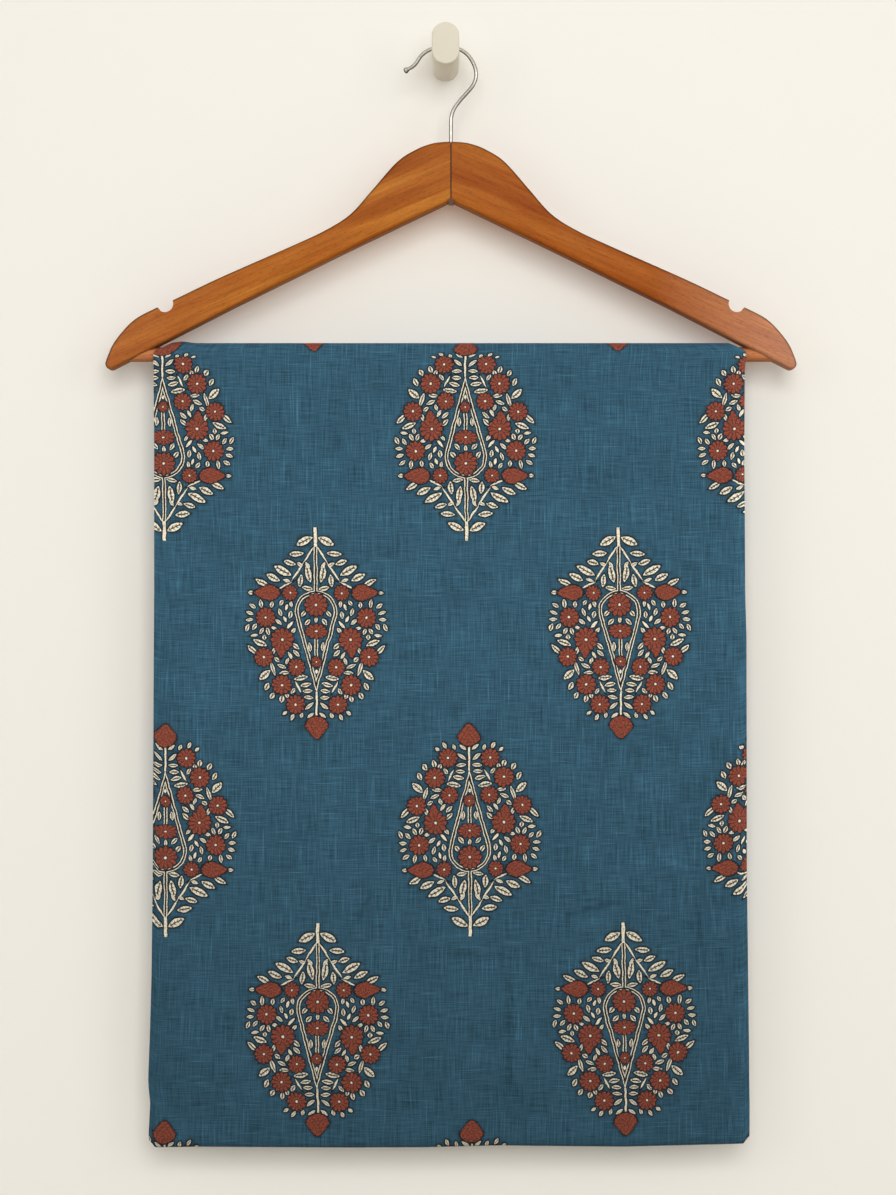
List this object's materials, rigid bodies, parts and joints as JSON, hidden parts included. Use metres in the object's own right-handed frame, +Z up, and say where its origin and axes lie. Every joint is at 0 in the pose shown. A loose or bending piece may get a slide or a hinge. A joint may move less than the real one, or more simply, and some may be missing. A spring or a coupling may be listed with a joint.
{
  "type": "printed cotton fabric on a wooden hanger and wall peg",
  "caption": "Folded length of block-printed cotton hanging over the bar of a flat wooden hanger, whose wire hook sits in the notch of a wall peg.",
  "frame": {"origin": "centre of the peg's flat face on the wall", "axes": "+Z up, +Y into the wall, +X to the right as the viewer faces the wall"},
  "size_m": [0.4466, 0.05, 0.723],
  "materials": {
    "cotton": "matt slubby plain weave, teal blue, printed in cream, rust and charcoal",
    "arm_wood": "red-brown satin varnish",
    "bar_wood": "red-brown satin varnish",
    "steel_wire": "bright nickel-plated wire",
    "peg_plastic": "cream satin"
  },
  "bodies": {
    "root": {"cloth": "cotton", "arm_left": "arm_wood", "arm_right": "arm_wood", "bar": "bar_wood", "hook": "steel_wire", "peg": "peg_plastic"}
  },
  "joints": []
}
